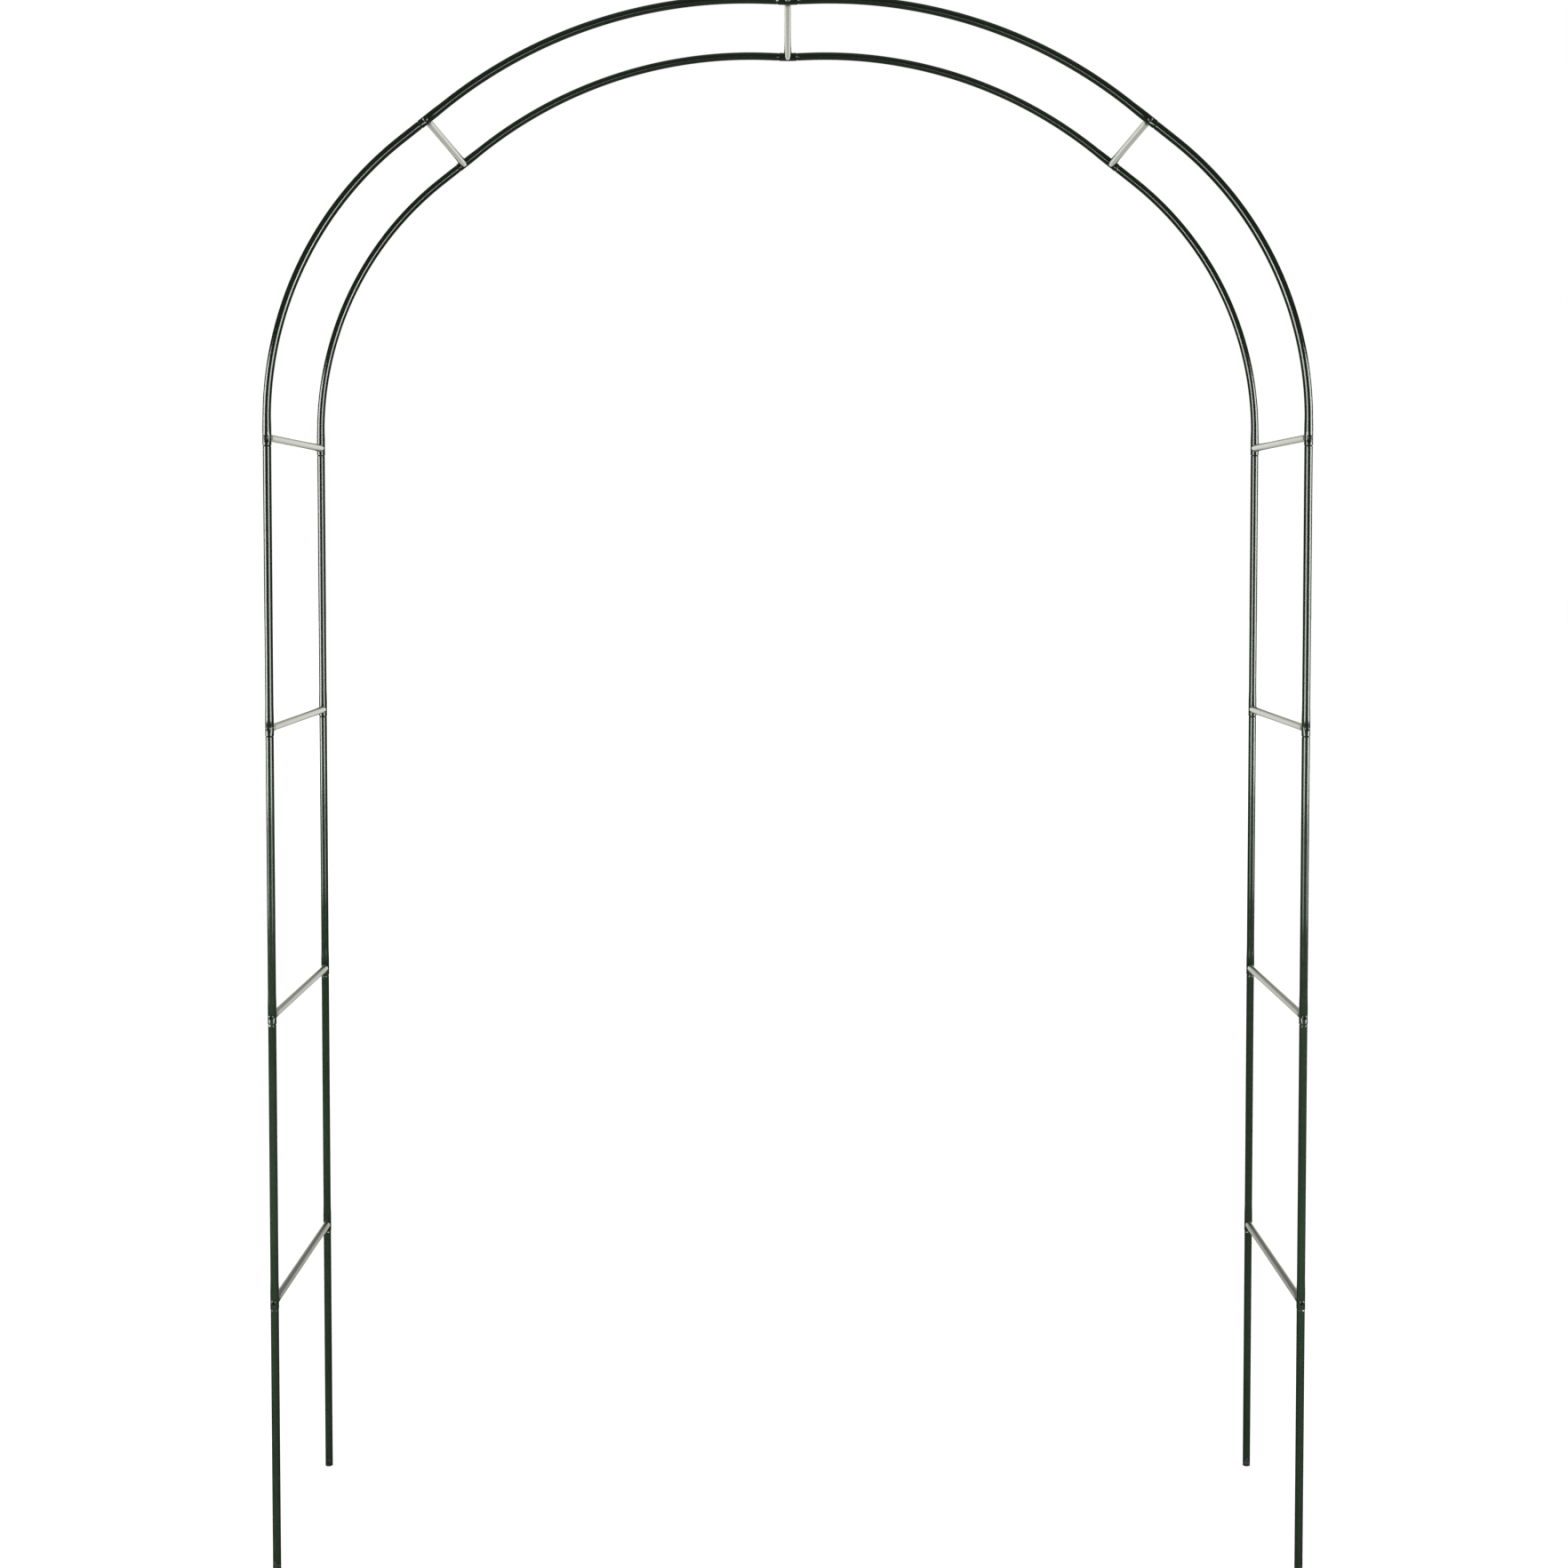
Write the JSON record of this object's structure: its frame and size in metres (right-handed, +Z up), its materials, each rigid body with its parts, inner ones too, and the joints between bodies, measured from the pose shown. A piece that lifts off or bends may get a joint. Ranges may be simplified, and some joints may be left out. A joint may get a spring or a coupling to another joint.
{
  "type": "garden trellis arch",
  "caption": "Walk-through garden arch of green coated steel tube: two screwed hoops joined by rungs, for climbing plants.",
  "frame": {"origin": "on the ground, in the middle of the four feet", "axes": "+Z up; +X across the way through, from the left leg to the right; +Y from the front hoop to the back hoop, along the walking direction"},
  "size_m": [1.5008, 0.3846, 2.2712],
  "materials": {
    "green_coating": "glossy dark green coating on steel tube, slightly rippled, worn thin on rims and round the screws",
    "screw_steel": "dark zinc-plated screw, dull and slightly dirty in its recess"
  },
  "bodies": {
    "root": {"front_left_foot": "green_coating", "front_left_leg_lower": "green_coating", "front_left_leg_middle": "green_coating", "front_left_leg_upper": "green_coating", "front_left_haunch": "green_coating", "front_left_crown": "green_coating", "front_right_foot": "green_coating", "front_right_leg_lower": "green_coating", "front_right_leg_middle": "green_coating", "front_right_leg_upper": "green_coating", "front_right_haunch": "green_coating", "front_right_crown": "green_coating", "front_coupler": "green_coating", "back_left_foot": "green_coating", "back_left_leg_lower": "green_coating", "back_left_leg_middle": "green_coating", "back_left_leg_upper": "green_coating", "back_left_haunch": "green_coating", "back_left_crown": "green_coating", "back_right_foot": "green_coating", "back_right_leg_lower": "green_coating", "back_right_leg_middle": "green_coating", "back_right_leg_upper": "green_coating", "back_right_haunch": "green_coating", "back_right_crown": "green_coating", "back_coupler": "green_coating", "rung_crown": "green_coating", "rung_left_1": "green_coating", "rung_left_2": "green_coating", "rung_left_3": "green_coating", "rung_left_4": "green_coating", "rung_left_shoulder": "green_coating", "rung_right_1": "green_coating", "rung_right_2": "green_coating", "rung_right_3": "green_coating", "rung_right_4": "green_coating", "rung_right_shoulder": "green_coating", "front_screw_crown": "screw_steel", "front_screw_left_1": "screw_steel", "front_screw_left_2": "screw_steel", "front_screw_left_3": "screw_steel", "front_screw_left_4": "screw_steel", "front_screw_left_shoulder": "screw_steel", "front_screw_right_1": "screw_steel", "front_screw_right_2": "screw_steel", "front_screw_right_3": "screw_steel", "front_screw_right_4": "screw_steel", "front_screw_right_shoulder": "screw_steel", "back_screw_crown": "screw_steel", "back_screw_left_1": "screw_steel", "back_screw_left_2": "screw_steel", "back_screw_left_3": "screw_steel", "back_screw_left_4": "screw_steel", "back_screw_left_shoulder": "screw_steel", "back_screw_right_1": "screw_steel", "back_screw_right_2": "screw_steel", "back_screw_right_3": "screw_steel", "back_screw_right_4": "screw_steel", "back_screw_right_shoulder": "screw_steel"}
  },
  "joints": []
}
